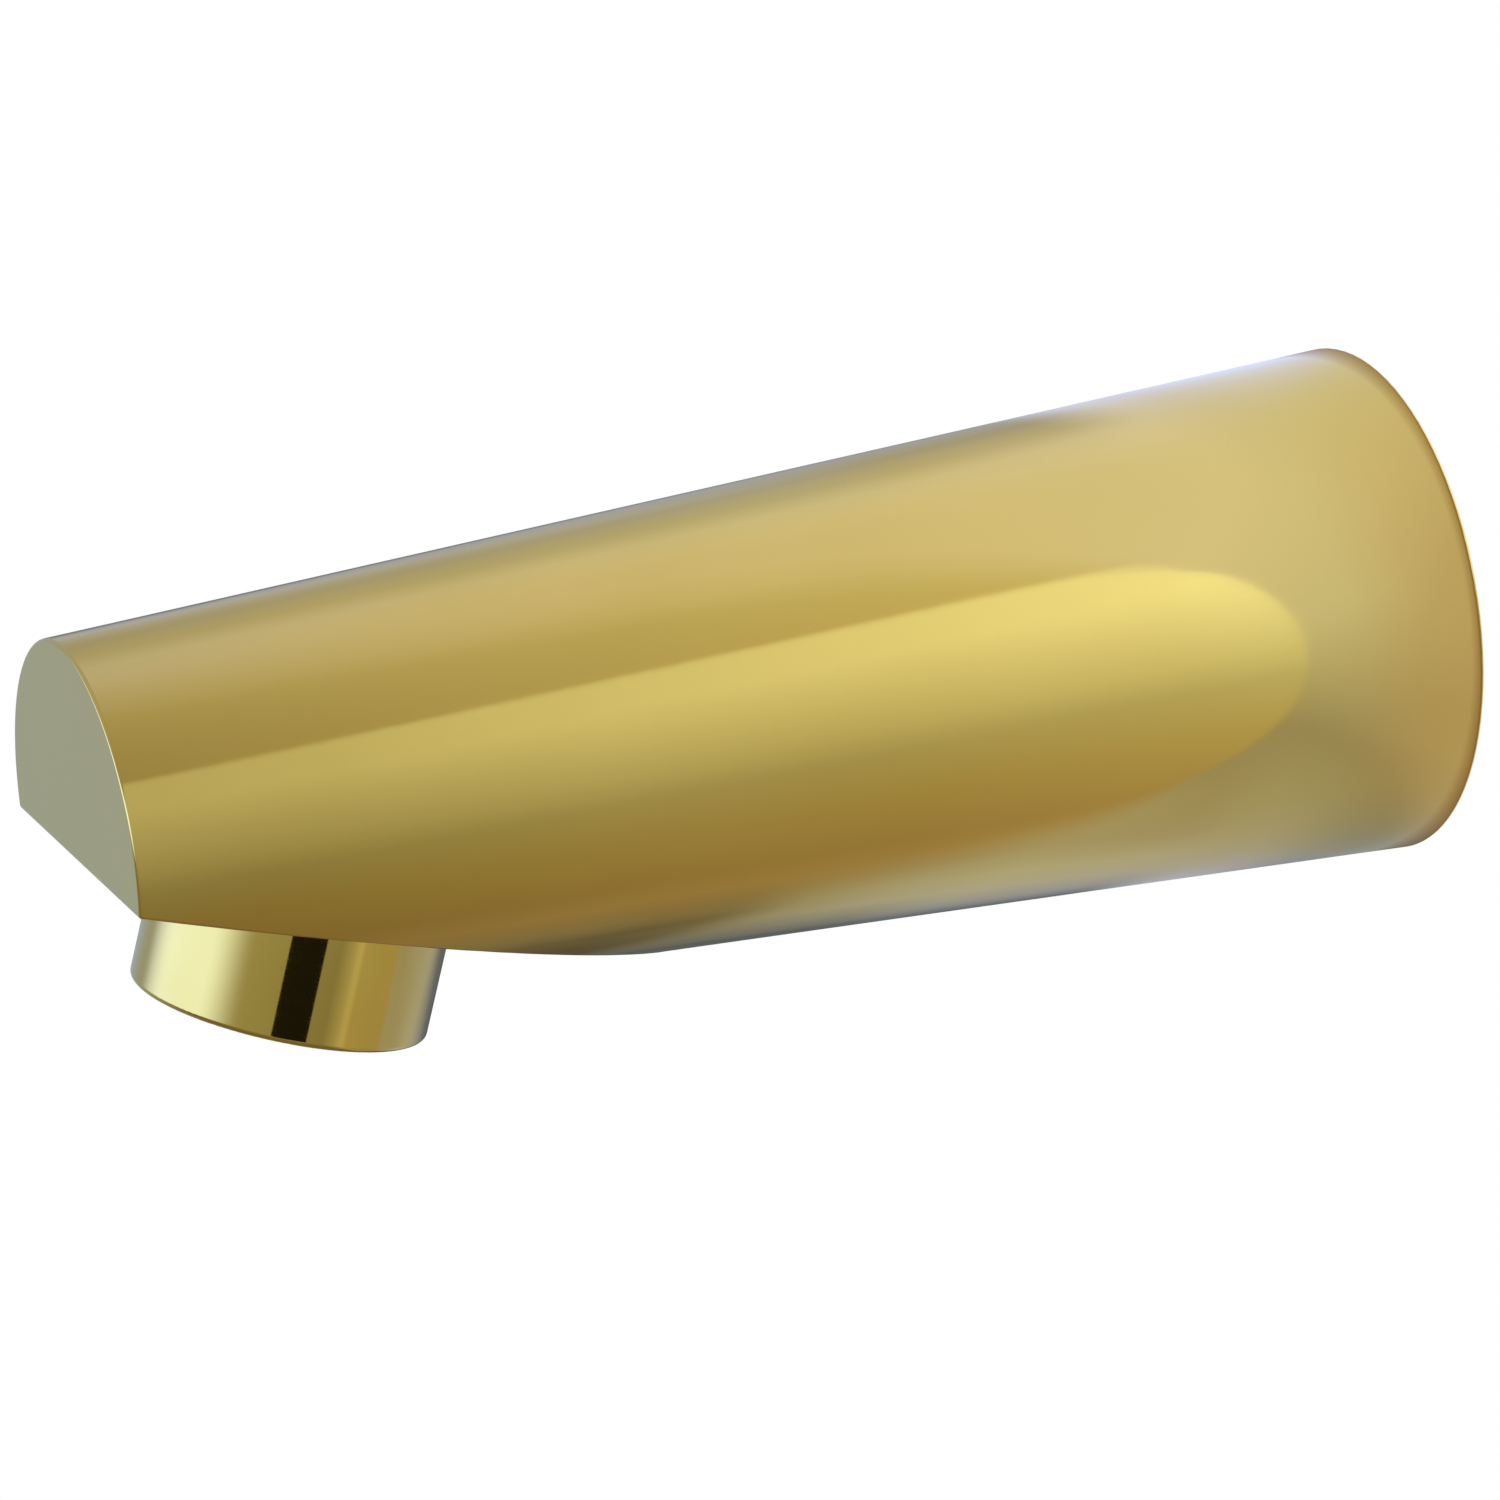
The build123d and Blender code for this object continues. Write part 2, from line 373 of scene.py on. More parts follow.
sleeveFinish = {
    "deepGold": (0.725, 0.545, 0.102),
    "lightGold": (0.765, 0.585, 0.122),
    "clouds": {"scale": 60.0, "detail": 2.0},
    "turnStretch": (2.0, 2.0, 5200.0),  # turning lines lie round the sleeve
    "turning": {"scale": 1.0, "detail": 2.0},
    "turnDepth": 0.5e-6,
    "roughness": (0.035, 0.075),
    "coatIor": 1.5,
    "coatRoughness": 0.02,
}
outletTilt = math.atan2(-outletAxis.y, -outletAxis.z)  # turn that stands the outlet upright


def polishedGold():
    finish = sleeveFinish
    material, tree, shader = newMaterial("polished_gold")
    clouds = noiseOn(tree, objectCoords(tree), **finish["clouds"])
    tone = spread(tree, clouds, "Fac", *noiseBands["narrow"], 0.0, 1.0)
    colour = blended(tree, tone, "Result", finish["deepGold"], finish["lightGold"])
    tree.links.new(colour, shader.inputs["Base Color"])
    upright = objectCoords(tree, finish["turnStretch"], (outletTilt, 0, 0))
    lines = noiseOn(tree, upright, **finish["turning"])
    rough = spread(tree, lines, "Fac", *noiseBands["wide"], *finish["roughness"])
    wire(tree, rough, "Result", shader, "Roughness")
    turned = bumpFrom(tree, lines, "Fac", finish["turnDepth"])
    wire(tree, turned, "Normal", shader, "Normal")
    shader.inputs["Metallic"].default_value = 1.0
    shader.inputs["Coat Weight"].default_value = 1.0
    shader.inputs["Coat IOR"].default_value = finish["coatIor"]
    shader.inputs["Coat Roughness"].default_value = finish["coatRoughness"]
    return material


collar = mounts["outlet_collar"]
sleeveFaces = [turnedFace(Vector(collar["pos_m"]), outletAxis, collar["dims"]["r_mm"] * millimetre)]
sleeveSkin = laySkin("outlet_sleeve", polishedGold(), sleeveFaces)
print("sleeve finished")


# the inlet hub: plain brass with turning rings, slightly dulled

hubFinish = {
    "freshBrass": (0.70, 0.545, 0.25),
    "dullBrass": (0.58, 0.435, 0.19),
    "dulling": {"scale": 130.0, "detail": 4.0, "roughness": 0.6},
    "dullBand": (0.42, 0.68),
    "roughBand": (0.35, 0.7),
    "roughness": (0.22, 0.42),
    "ringPitch": 0.00022,
    "ringDepth": 1.5e-6,
}


def turnedBrass():
    finish = hubFinish
    material, tree, shader = newMaterial("turned_brass")
    dulling = noiseOn(tree, objectCoords(tree), **finish["dulling"])
    tone = spread(tree, dulling, "Fac", *finish["dullBand"], 0.0, 1.0)
    colour = blended(tree, tone, "Result", finish["freshBrass"], finish["dullBrass"])
    tree.links.new(colour, shader.inputs["Base Color"])
    rough = spread(tree, dulling, "Fac", *finish["roughBand"], *finish["roughness"])
    wire(tree, rough, "Result", shader, "Roughness")
    across = objectCoords(tree, (1, 0, 1))  # distance from the spout's own axis
    radius = addNode(tree, "ShaderNodeVectorMath", operation="LENGTH")
    wire(tree, across, "Vector", radius, 0)
    phase = addNode(tree, "ShaderNodeMath", operation="MULTIPLY")
    phase.inputs[1].default_value = 2 * math.pi / finish["ringPitch"]
    wire(tree, radius, "Value", phase, 0)
    rings = addNode(tree, "ShaderNodeMath", operation="SINE")
    wire(tree, phase, "Value", rings, 0)
    ringed = bumpFrom(tree, rings, "Value", finish["ringDepth"])
    wire(tree, ringed, "Normal", shader, "Normal")
    shader.inputs["Metallic"].default_value = 1.0
    return material


hubBrass = turnedBrass()
dress("inlet_hub", hubBrass)


# pipe thread: a ridge wound along the hub's bore

threadRidge = {
    "pitch": 0.001814,
    "depth": 0.001162,
    "flank": 27.5,  # half of the angle between its two sides
    "crest": 0.00048,  # width of the top before it is rounded
    "crestRound": 0.00020,
    "crestSteps": 3,
    "bedding": 0.0001,  # how deep its foot lies in the bore's wall
    "start": 0.0096,  # from the wall face
    "end": 0.0236,
    "bore": mounts["inlet_thread"]["dims"]["r_mm"] * millimetre,
    "runOut": 0.04,  # share of its length over which each end fades into the bore
    "runOutScale": 0.1,
    "stepsPerTurn": 96,
}


def threadSection(tree):
    # a rounded trapezoid that stands on the wall of the bore and points at the axis
    size = threadRidge
    height = size["depth"] + size["bedding"]
    foot = size["crest"] + 2 * height * math.tan(math.radians(size["flank"]))
    blank = addNode(tree, "GeometryNodeCurvePrimitiveQuadrilateral", mode="TRAPEZOID")
    measures = {"Height": height, "Bottom Width": foot, "Top Width": size["crest"], "Offset": 0.0}
    for name, value in measures.items():
        blank.inputs[name].default_value = value
    rounded = addNode(tree, "GeometryNodeFilletCurve", {"Radius": size["crestRound"]})
    rounded.mode = "POLY"
    rounded.inputs["Limit Radius"].default_value = True
    rounded.inputs["Count"].default_value = size["crestSteps"]
    wire(tree, blank, "Curve", rounded, "Curve")
    placed = addNode(tree, "GeometryNodeTransform")
    placed.inputs["Rotation"].default_value = (0, 0, -math.pi / 2)
    placed.inputs["Translation"].default_value = (height / 2, 0, 0)
    wire(tree, rounded, "Curve", placed, "Geometry")
    return placed


def windThread():
    size = threadRidge
    length = size["end"] - size["start"]
    tree = bpy.data.node_groups.new("thread_ridge", "GeometryNodeTree")
    tree.interface.new_socket("Geometry", in_out="OUTPUT", socket_type="NodeSocketGeometry")
    wanted = {"Foot": size["bore"] + size["bedding"], "Turns": length / size["pitch"], "Length": length}
    sockets = {}
    for name in wanted:
        sockets[name] = tree.interface.new_socket(name, in_out="INPUT", socket_type="NodeSocketFloat")
    given = addNode(tree, "NodeGroupInput")
    result = addNode(tree, "NodeGroupOutput")
    helix = addNode(tree, "GeometryNodeCurveSpiral", {"Resolution": size["stepsPerTurn"]})
    wire(tree, given, "Foot", helix, "Start Radius")
    wire(tree, given, "Foot", helix, "End Radius")
    wire(tree, given, "Turns", helix, "Rotations")
    wire(tree, given, "Length", helix, "Height")
    upright = addNode(tree, "GeometryNodeSetCurveNormal", mode="Z_UP")
    wire(tree, helix, "Curve", upright, "Curve")
    along = addNode(tree, "GeometryNodeSplineParameter")
    runOut, thin = size["runOut"], size["runOutScale"]
    first = spread(tree, along, "Factor", 0.0, runOut, thin, 1.0)
    last = spread(tree, along, "Factor", 1.0 - runOut, 1.0, 1.0, thin)
    fade = addNode(tree, "ShaderNodeMath", operation="MULTIPLY")
    wire(tree, first, "Result", fade, 0)
    wire(tree, last, "Result", fade, 1)
    ridge = addNode(tree, "GeometryNodeCurveToMesh", {"Fill Caps": True})
    wire(tree, upright, "Curve", ridge, "Curve")
    wire(tree, threadSection(tree), "Geometry", ridge, "Profile Curve")
    wire(tree, fade, "Value", ridge, "Scale")
    realize = addNode(tree, "GeometryNodeRealizeInstances")
    wire(tree, ridge, "Mesh", realize, "Geometry")
    paint = addNode(tree, "GeometryNodeSetMaterial", {"Material": hubBrass})
    wire(tree, realize, "Geometry", paint, "Geometry")
    tree.links.new(paint.outputs["Geometry"], result.inputs["Geometry"])
    holder = bpy.data.objects.new("inlet_thread_ridge", bpy.data.meshes.new("inlet_thread_ridge"))
    bpy.context.scene.collection.objects.link(holder)
    modifier = holder.modifiers.new("thread", "NODES")
    modifier.node_group = tree
    for name, value in wanted.items():
        modifier[sockets[name].identifier] = value
    shown = holder.evaluated_get(bpy.context.evaluated_depsgraph_get())
    mesh = bpy.data.meshes.new_from_object(shown)
    holder.modifiers.remove(modifier)
    holder.data = mesh
    return holder


threadPiece = windThread()
towardsNose = Matrix.Rotation(math.radians(90), 4, "X")
threadPiece.data.transform(Matrix.Translation((0, -threadRidge["start"], 0)) @ towardsNose)
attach(threadPiece, "root")
print("hub finished:", len(threadPiece.data.polygons), "faces in the thread")


# rubber: the wall gasket, the washers and the hub's seal

rubberDust = {
    "noise": {"scale": 90.0, "detail": 3.0},
    "band": (0.4, 0.75),
}
gasketFinish = {
    "colour": (0.030, 0.030, 0.032),
    "worn": (0.055, 0.055, 0.056),
    "grain": {"scale": 1500.0, "detail": 3.0, "roughness": 0.65},
    "grainDepth": 6e-6,
    "roughness": (0.55, 0.75),
}
washerFinish = {
    "colour": (0.020, 0.020, 0.021),
    "worn": (0.040, 0.038, 0.037),
    "grain": {"scale": 2400.0, "detail": 3.0, "roughness": 0.65},
    "grainDepth": 4e-6,
    "roughness": (0.55, 0.75),
}


def rubber(name, finish):
    material, tree, shader = newMaterial(name)
    plain = objectCoords(tree)
    grain = noiseOn(tree, plain, **finish["grain"])
    dust = noiseOn(tree, plain, **rubberDust["noise"])
    tone = spread(tree, dust, "Fac", *rubberDust["band"], 0.0, 1.0)
    colour = blended(tree, tone, "Result", finish["colour"], finish["worn"])
    tree.links.new(colour, shader.inputs["Base Color"])
    rough = spread(tree, grain, "Fac", *noiseBands["wide"], *finish["roughness"])
    wire(tree, rough, "Result", shader, "Roughness")
    pitted = bumpFrom(tree, grain, "Fac", finish["grainDepth"])
    wire(tree, pitted, "Normal", shader, "Normal")
    return material


dress("wall_gasket", rubber("gasket_rubber_black", gasketFinish))
washerRubber = rubber("washer_rubber_black", washerFinish)
for washer in ("inlet_washer", "outlet_washer", "hub_seal"):
    dress(washer, washerRubber)
print("rubber finished")


# moulded inserts in the sleeve

insertFinish = {
    "colour": (0.62, 0.59, 0.52),
    "shade": (0.54, 0.51, 0.45),
    "flow": {"scale": 70.0, "detail": 2.0},  # flow marks of the moulding
    "grain": {"scale": 900.0, "detail": 2.0},
    "grainDepth": 5e-6,
    "roughness": (0.32, 0.48),
}


def mouldedPlastic():
    finish = insertFinish
    material, tree, shader = newMaterial("moulded_plastic")
    plain = objectCoords(tree)
    grain = noiseOn(tree, plain, **finish["grain"])
    flow = noiseOn(tree, plain, **finish["flow"])
    tone = spread(tree, flow, "Fac", *noiseBands["narrow"], 0.0, 1.0)
    colour = blended(tree, tone, "Result", finish["colour"], finish["shade"])
    tree.links.new(colour, shader.inputs["Base Color"])
    rough = spread(tree, grain, "Fac", *noiseBands["wide"], *finish["roughness"])
    wire(tree, rough, "Result", shader, "Roughness")
    textured = bumpFrom(tree, grain, "Fac", finish["grainDepth"])
    wire(tree, textured, "Normal", shader, "Normal")
    return material


insertPlastic = mouldedPlastic()
for insert in ("strainer", "jet_disc", "flow_straightener"):
    dress(insert, insertPlastic)
print("inserts finished")


# the studio: a painted light tent, a pale board at the wall that glows with painted light and the
# spout's painted shadow, and a white floor that the camera sees

degree = math.radians(1)  # the stops by angle are in degrees


def direction(azimuth, elevation):
    a, e = math.radians(azimuth), math.radians(elevation)
    return Vector((math.sin(a) * math.cos(e), -math.cos(a) * math.cos(e), math.sin(e)))


def stageObject(name, points, faces, material):
    mesh = bpy.data.meshes.new(name)
    mesh.from_pydata(points, [], faces)
    mesh.materials.append(material)
    thing = bpy.data.objects.new(name, mesh)
    bpy.context.scene.collection.objects.link(thing)
    return thing


def stageSheet(name, middle, across, along, material):
    # a flat sheet, from its middle and half of each side
    near, far = middle - along, middle + along
    points = [near - across, near + across, far + across, far - across]
    return stageObject(name, points, [(0, 1, 2, 3)], material)


def emptyMaterial(name):
    material = bpy.data.materials.new(name)
    material.use_nodes = True
    tree = material.node_tree
    tree.nodes.clear()
    return material, tree, addNode(tree, "ShaderNodeOutputMaterial")


def toneRamp(tree, source, output, stops, unit=1.0, strength=1.0):
    # a tone by where a value lies between the first stop and the last
    low, high = stops[0][0], stops[-1][0]
    place = spread(tree, source, output, low * unit, high * unit, 0.0, 1.0)
    ramp = addNode(tree, "ShaderNodeValToRGB")
    marks = ramp.color_ramp.elements
    while len(marks) < len(stops):
        marks.new(0.5)  # its place is set below
    for mark, (value, tone) in zip(marks, stops):
        mark.position = (value - low) / (high - low)
        mark.color = rgba([c / strength for c in tone])
    wire(tree, place, "Result", ramp, "Fac")
    return ramp


tentLight = {
    "radius": 2.4,
    "rows": 24,
    "columns": 48,
    "strength": 1.5,  # the tones are divided by it in their ramp and glow with it
    # tone by the angle round the spout's axis: 0 is the camera's side, 90 is up, -90 is down
    "tones": [
        (-180, (0.76, 0.86, 0.95)),
        (-148, (0.73, 0.90, 1.04)),
        (-128, (0.60, 0.62, 0.60)),
        (-108, (0.52, 0.48, 0.40)),
        (-85, (0.45, 0.355, 0.25)),
        (-64, (0.42, 0.328, 0.21)),
        (-36, (0.50, 0.43, 0.28)),
        (-14, (0.56, 0.55, 0.45)),
        (0, (0.74, 0.745, 0.66)),
        (16, (0.90, 0.92, 0.86)),
        (34, (1.08, 1.13, 1.08)),
        (50, (1.08, 1.13, 1.08)),
        (52, (0.745, 0.70, 0.56)),
        (75, (0.79, 0.76, 0.64)),
        (95, (0.88, 0.86, 0.79)),
        (115, (0.96, 0.95, 0.89)),
        (140, (0.90, 0.97, 1.02)),
        (180, (0.76, 0.86, 0.95)),
    ],
    "edgeLean": 8.5,  # degrees that the tones lean, down at the nose and up at the wall
    "leanSides": (0.12, 0.375),  # in the measure of the sides below
    # share of the tone by how far the tent's direction points to the wall
    "sides": [
        (0.12, (0.495, 0.48, 0.455)),
        (0.27, (0.855, 0.855, 0.90)),
        (0.30, (0.95, 0.965, 1.05)),
        (0.33, (1.07, 1.13, 1.30)),
        (0.37, (1.19, 1.26, 1.46)),
        (0.42, (0.96, 1.00, 1.06)),
        (0.62, (0.96, 1.02, 1.08)),
        (0.85, (1.15, 1.20, 1.35)),
    ],
}
softWindow = {
    "azimuth": -12.0,  # a little past the nose, on the far side
    "elevation": 3.0,
    "halfWidth": (16.0, 51.0),  # degrees: full, faded out
    "halfHeight": (0.10, 0.20),  # the same, as the rise of a direction of length 1
    "tone": (1.15, 1.46, 2.80),
}


def fadedBand(tree, source, output, middle, full, faded):
    # 1 within the full half-width of a middle value, falling to 0 at the faded one
    off = addNode(tree, "ShaderNodeMath", operation="SUBTRACT")
    off.inputs[1].default_value = middle
    wire(tree, source, output, off, 0)
    size = addNode(tree, "ShaderNodeMath", operation="ABSOLUTE")
    wire(tree, off, "Value", size, 0)
    band = spread(tree, size, "Value", full, faded, 1.0, 0.0)
    band.interpolation_type = "SMOOTHSTEP"
    return band


def frontWindow(tree, way, under):
    # turned so that the window lies ahead, along X
    window = softWindow
    turned = addNode(tree, "ShaderNodeVectorRotate", rotation_type="Z_AXIS")
    turned.inputs["Angle"].default_value = math.radians(90 - window["azimuth"])
    wire(tree, way, "Vector", turned, "Vector")
    parts = addNode(tree, "ShaderNodeSeparateXYZ")
    wire(tree, turned, "Vector", parts, "Vector")
    angle = addNode(tree, "ShaderNodeMath", operation="ARCTAN2")
    wire(tree, parts, "Y", angle, 0)
    wire(tree, parts, "X", angle, 1)
    across = fadedBand(tree, angle, "Value", 0.0, *(math.radians(a) for a in window["halfWidth"]))
    rise = math.sin(math.radians(window["elevation"]))
    upright = fadedBand(tree, parts, "Z", rise, *window["halfHeight"])
    share = addNode(tree, "ShaderNodeMath", operation="MULTIPLY")
    wire(tree, across, "Result", share, 0)
    wire(tree, upright, "Result", share, 1)
    tone = [c / tentLight["strength"] for c in window["tone"]]
    return blended(tree, share, "Value", under.outputs["Vector"], tone)


def tentGlow(tree):
    light = tentLight
    coords = addNode(tree, "ShaderNodeTexCoord")
    way = addNode(tree, "ShaderNodeVectorMath", operation="NORMALIZE")
    wire(tree, coords, "Object", way, 0)
    parts = addNode(tree, "ShaderNodeSeparateXYZ")
    wire(tree, way, "Vector", parts, "Vector")
    roll = addNode(tree, "ShaderNodeMath", operation="ARCTAN2")
    wire(tree, parts, "Z", roll, 0)
    wire(tree, parts, "X", roll, 1)
    most = math.radians(light["edgeLean"])
    lean = spread(tree, parts, "Y", *light["leanSides"], most, -most)
    leant = addNode(tree, "ShaderNodeMath", operation="ADD")
    wire(tree, roll, "Value", leant, 0)
    wire(tree, lean, "Result", leant, 1)
    tones = toneRamp(tree, leant, "Value", light["tones"], degree, light["strength"])
    shares = toneRamp(tree, parts, "Y", light["sides"])
    shaded = addNode(tree, "ShaderNodeVectorMath", operation="MULTIPLY")
    wire(tree, tones, "Color", shaded, 0)
    wire(tree, shares, "Color", shaded, 1)
    glow = addNode(tree, "ShaderNodeEmission", {"Strength": light["strength"]})
    tree.links.new(frontWindow(tree, way, shaded), glow.inputs["Color"])
    return glow


def tentMaterial():
    material, tree, output = emptyMaterial("tent_light")
    wire(tree, tentGlow(tree), "Emission", output, "Surface")
    return material


def hangTent():
    rows, columns = tentLight["rows"], tentLight["columns"]
    points, faces = [], []
    for row in range(rows + 1):
        polar = math.pi * row / rows
        ring = math.sin(polar)
        for column in range(columns):
            roll = 2 * math.pi * column / columns
            way = Vector((ring * math.cos(roll), math.cos(polar), ring * math.sin(roll)))
            points.append(way * tentLight["radius"])
    for row in range(rows):
        for column in range(columns):
            a, b = row * columns + column, row * columns + (column + 1) % columns
            faces.append((a, b, b + columns, a + columns))
    return stageObject("light_tent", points, faces, tentMaterial())


wallBoard = {
    "sides": (-0.8, 0.12),
    "heights": (-0.8, 1.1),
    "hole": 0.02625,  # just clear of the rim
    "steps": 64,  # round the hole
    "strength": 1.0,
    "nearEdge": 0.079,  # shows in the spout's side
    "flare": 0.026,  # how far the near edge sweeps out, between two heights above the spout
    "flareHeights": (0.06, 0.14),
    # the near edge is crisp beside the spout and melts into the tent above and below it
    "crispWithin": 0.075,
    "crispWidth": 0.001,
    "melt": 0.6,  # width of the melting edge, as a share of the height past that
    # painted light by height, as if lit from above, with the spout's painted shadow under it
    "tones": [
        (-0.30, (0.16, 0.145, 0.13)),
        (-0.265, (0.20, 0.185, 0.16)),
        (-0.23, (0.38, 0.39, 0.42)),
        (-0.19, (0.46, 0.49, 0.60)),
        (-0.15, (0.51, 0.55, 0.67)),
        (-0.10, (0.49, 0.52, 0.64)),
        (-0.035, (0.37, 0.375, 0.43)),
        (-0.01, (0.52, 0.53, 0.61)),
        (0.02, (0.67, 0.71, 0.92)),
        (0.08, (0.79, 0.82, 1.08)),
        (0.17, (0.76, 0.765, 0.90)),
        (0.32, (0.70, 0.685, 0.77)),
        (0.60, (0.58, 0.58, 0.77)),
        (0.90, (0.48, 0.48, 0.68)),
    ],
    # the spout's painted shadow on the board: share of the tone by the angle round the spout, setting
    # in between two distances from its axis
    "shade": [
        (-180, (0.56, 0.55, 0.51)),
        (-150, (0.245, 0.25, 0.235)),
        (-135, (0.31, 0.32, 0.31)),
        (-120, (0.67, 0.69, 0.70)),
        (-105, (0.94, 0.94, 0.94)),
        (-92, (1.0, 1.0, 1.0)),
        (-75, (0.88, 0.83, 0.80)),
        (-45, (0.90, 0.85, 0.80)),
        (0, (1.0, 1.0, 1.0)),
        (112, (1.0, 1.0, 1.0)),
        (123, (0.94, 0.94, 0.91)),
        (136, (0.72, 0.69, 0.50)),
        (152, (0.56, 0.53, 0.37)),
        (180, (0.56, 0.55, 0.46)),
    ],
    "shadeReach": (0.074, 0.104),
    # the same once more, further out: more painted shadow low on the far side, and a bluer painted
    # light high on it
    "farShade": [
        (-180, (1.0, 1.03, 1.06)),
        (-160, (1.0, 1.0, 1.0)),
        (-134, (0.70, 0.70, 0.62)),
        (-121, (0.74, 0.74, 0.66)),
        (-105, (1.0, 1.0, 1.0)),
        (110, (1.0, 1.0, 1.0)),
        (137, (1.0, 1.06, 1.22)),
        (151, (1.0, 1.06, 1.25)),
        (165, (1.0, 1.04, 1.12)),
        (180, (1.0, 1.03, 1.06)),
    ],
    "farReach": (0.15, 0.20),
    # the same close to the rim, where the wall is in the spout's own shade
    "contact": [
        (-180, (0.80, 0.82, 0.80)),
        (-150, (0.56, 0.62, 0.58)),
        (-120, (0.60, 0.65, 0.60)),
        (-100, (0.74, 0.79, 0.70)),
        (-80, (0.77, 0.81, 0.73)),
        (-66, (0.88, 0.86, 0.78)),
        (-50, (1.05, 0.94, 0.82)),
        (-30, (1.07, 0.93, 0.83)),
        (-15, (0.98, 0.85, 0.77)),
        (30, (0.96, 0.85, 0.76)),
        (60, (1.00, 0.93, 0.82)),
        (100, (1.03, 1.02, 0.92)),
        (113, (1.045, 1.055, 1.13)),
        (135, (1.07, 1.12, 1.22)),
        (165, (1.08, 1.16, 1.16)),
        (180, (0.80, 0.82, 0.80)),
    ],
    "contactReach": (0.034, 0.070),
    "rimShadowTone": (0.50, 0.34, 0.17),  # painted shadow in the corner against the rim
    "rimShadowReach": (0.0262, 0.0300),
}


def boardMaterial():
    board = wallBoard
    material, tree, output = emptyMaterial("wall_board")
    coords = addNode(tree, "ShaderNodeTexCoord")
    parts = addNode(tree, "ShaderNodeSeparateXYZ")
    wire(tree, coords, "Object", parts, "Vector")
    angle = addNode(tree, "ShaderNodeMath", operation="ARCTAN2")
    wire(tree, parts, "Z", angle, 0)
    wire(tree, parts, "X", angle, 1)
    away = addNode(tree, "ShaderNodeVectorMath", operation="LENGTH")
    wire(tree, coords, "Object", away, 0)
    # painted light by height, then the spout's painted shadows by angle and distance from its axis
    tone = toneRamp(tree, parts, "Z", board["tones"]).outputs["Color"]
    layers = (
        ("shade", "shadeReach", (0.0, 1.0)),
        ("farShade", "farReach", (0.0, 1.0)),
        ("contact", "contactReach", (1.0, 0.0)),
    )
    for name, reach, ends in layers:
        share = spread(tree, away, "Value", *board[reach], *ends)
        share.interpolation_type = "SMOOTHSTEP"
        by = toneRamp(tree, angle, "Value", board[name], degree).outputs["Color"]
        tone = blended(tree, share, "Result", tone, by, way="MULTIPLY")
    # painted shadow darkening the board in the corner against the rim
    corner = spread(tree, away, "Value", *board["rimShadowReach"], 1.0, 0.0)
    tone = blended(tree, corner, "Result", tone, board["rimShadowTone"], way="MULTIPLY")
    glow = addNode(tree, "ShaderNodeEmission", {"Strength": board["strength"]})
    tree.links.new(tone, glow.inputs["Color"])
    clear = addNode(tree, "ShaderNodeBsdfTransparent")
    mix = addNode(tree, "ShaderNodeMixShader")
    wire(tree, meltingEdge(tree, parts), "Value", mix, 0)
    wire(tree, clear, "BSDF", mix, 1)
    wire(tree, glow, "Emission", mix, 2)
    wire(tree, mix, "Shader", output, "Surface")
    return material


def meltingEdge(tree, parts):
    # how solid the board is: its near edge widens into a fade with height
    board = wallBoard
    height = addNode(tree, "ShaderNodeMath", operation="ABSOLUTE")
    wire(tree, parts, "Z", height, 0)
    past = addNode(tree, "ShaderNodeMath", operation="SUBTRACT")
    past.inputs[1].default_value = board["crispWithin"]
    wire(tree, height, "Value", past, 0)
    wide = addNode(tree, "ShaderNodeMath", operation="MULTIPLY")
    wide.inputs[1].default_value = board["melt"]
    wire(tree, past, "Value", wide, 0)
    width = addNode(tree, "ShaderNodeMath", operation="MAXIMUM")
    width.inputs[1].default_value = board["crispWidth"]
    wire(tree, wide, "Value", width, 0)
    near = board["nearEdge"]
    edge = spread(tree, parts, "Z", *board["flareHeights"], near, near + board["flare"])
    edge.interpolation_type = "SMOOTHSTEP"
    inside = addNode(tree, "ShaderNodeMath", operation="SUBTRACT")
    wire(tree, edge, "Result", inside, 0)
    wire(tree, parts, "X", inside, 1)
    solid = addNode(tree, "ShaderNodeMath", operation="DIVIDE", use_clamp=True)
    wire(tree, inside, "Value", solid, 0)
    wire(tree, width, "Value", solid, 1)
    return solid


def boardReach(x, z):
    # how far the board reaches from the spout's axis in a direction
    left, right = wallBoard["sides"]
    bottom, top = wallBoard["heights"]
    reaches = []
    if x:
        reaches.append((right if x > 0 else left) / x)
    if z:
        reaches.append((top if z > 0 else bottom) / z)
    return min(reaches)


def standBoard():
    # a flat board in the wall's plane, with a round hole behind the spout
    board = wallBoard
    steps = board["steps"]
    points, faces = [], []
    for step in range(steps):
        angle = 2 * math.pi * step / steps
        x, z = math.cos(angle), math.sin(angle)
        reach = boardReach(x, z)
        points.append((board["hole"] * x, 0.0, board["hole"] * z))
        points.append((reach * x, 0.0, reach * z))
    for step in range(steps):
        a, b = 2 * step, 2 * ((step + 1) % steps)
        faces.append((a, a + 1, b + 1, b))
    return stageObject("wall_board", points, faces, boardMaterial())


cameraFlag = {
    "direction": (73.5, -11.3),  # azimuth and elevation
    "distance": 2.2,  # just inside the tent
    "width": 0.957,
    "height": 0.510,
    "solid": 0.962,  # the rest lets the tent shine through
}


def flagMaterial():
    # glows as the tent does behind it
    material, tree, output = emptyMaterial("flag_light")
    clear = addNode(tree, "ShaderNodeBsdfTransparent")
    mix = addNode(tree, "ShaderNodeMixShader")
    mix.inputs[0].default_value = cameraFlag["solid"]
    wire(tree, clear, "BSDF", mix, 1)
    wire(tree, tentGlow(tree), "Emission", mix, 2)
    wire(tree, mix, "Shader", output, "Surface")
    return material


